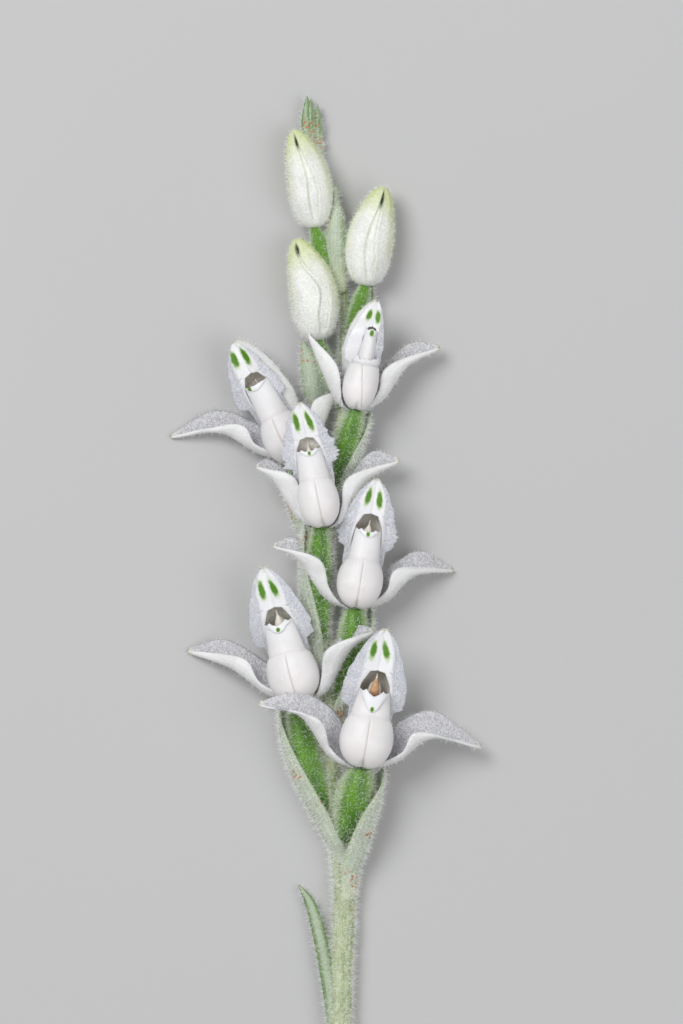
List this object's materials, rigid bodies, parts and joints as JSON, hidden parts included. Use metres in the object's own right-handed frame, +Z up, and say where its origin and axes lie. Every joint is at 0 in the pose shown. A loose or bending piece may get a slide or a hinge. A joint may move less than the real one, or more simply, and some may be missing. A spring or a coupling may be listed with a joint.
{
  "type": "jewel orchid flower spike",
  "caption": "Cut hairy flower spike of a jewel orchid with open white flowers, closed buds and green bracts, lying on its back.",
  "frame": {"origin": "centre of the bounding box at its lowest level, on the surface that the spike lies on", "axes": "+Y along the spike towards its tip, +X to the right of the spike seen from above with its tip up, +Z up from the surface, the way the flowers face"},
  "size_m": [0.0188, 0.0616, 0.0052],
  "materials": {
    "stem": "matte",
    "ovary": "satin",
    "lip": "satin",
    "petal": "satin",
    "sepal": "satin",
    "bract": "matte",
    "bud": "satin"
  },
  "bodies": {
    "root": {"stem": "stem", "flower_1_ovary": "ovary", "flower_1_lip": "lip", "flower_1_dorsal_sepal": "sepal", "flower_1_petal_left": "petal", "flower_1_petal_right": "petal", "flower_1_lateral_sepal_left": "sepal", "flower_1_lateral_sepal_right": "sepal", "flower_1_bract": "bract", "flower_2_ovary": "ovary", "flower_2_lip": "lip", "flower_2_dorsal_sepal": "sepal", "flower_2_petal_left": "petal", "flower_2_petal_right": "petal", "flower_2_lateral_sepal_left": "sepal", "flower_2_lateral_sepal_right": "sepal", "flower_2_bract": "bract", "flower_3_ovary": "ovary", "flower_3_lip": "lip", "flower_3_dorsal_sepal": "sepal", "flower_3_petal_left": "petal", "flower_3_petal_right": "petal", "flower_3_lateral_sepal_left": "sepal", "flower_3_lateral_sepal_right": "sepal", "flower_3_bract": "bract", "flower_4_ovary": "ovary", "flower_4_lip": "lip", "flower_4_dorsal_sepal": "sepal", "flower_4_petal_left": "petal", "flower_4_petal_right": "petal", "flower_4_lateral_sepal_left": "sepal", "flower_4_lateral_sepal_right": "sepal", "flower_4_bract": "bract", "flower_5_ovary": "ovary", "flower_5_lip": "lip", "flower_5_dorsal_sepal": "sepal", "flower_5_petal_left": "petal", "flower_5_petal_right": "petal", "flower_5_lateral_sepal_left": "sepal", "flower_5_lateral_sepal_right": "sepal", "flower_5_bract": "bract", "flower_6_ovary": "ovary", "flower_6_lip": "lip", "flower_6_dorsal_sepal": "sepal", "flower_6_petal_left": "petal", "flower_6_petal_right": "petal", "flower_6_lateral_sepal_left": "sepal", "flower_6_lateral_sepal_right": "sepal", "flower_6_bract": "bract", "bud_1": "bud", "bud_1_bract": "bract", "bud_2": "bud", "bud_2_bract": "bract", "bud_3": "bud", "bud_3_bract": "bract", "sterile_bract": "bract", "spike_tip": "bract"}
  },
  "joints": []
}
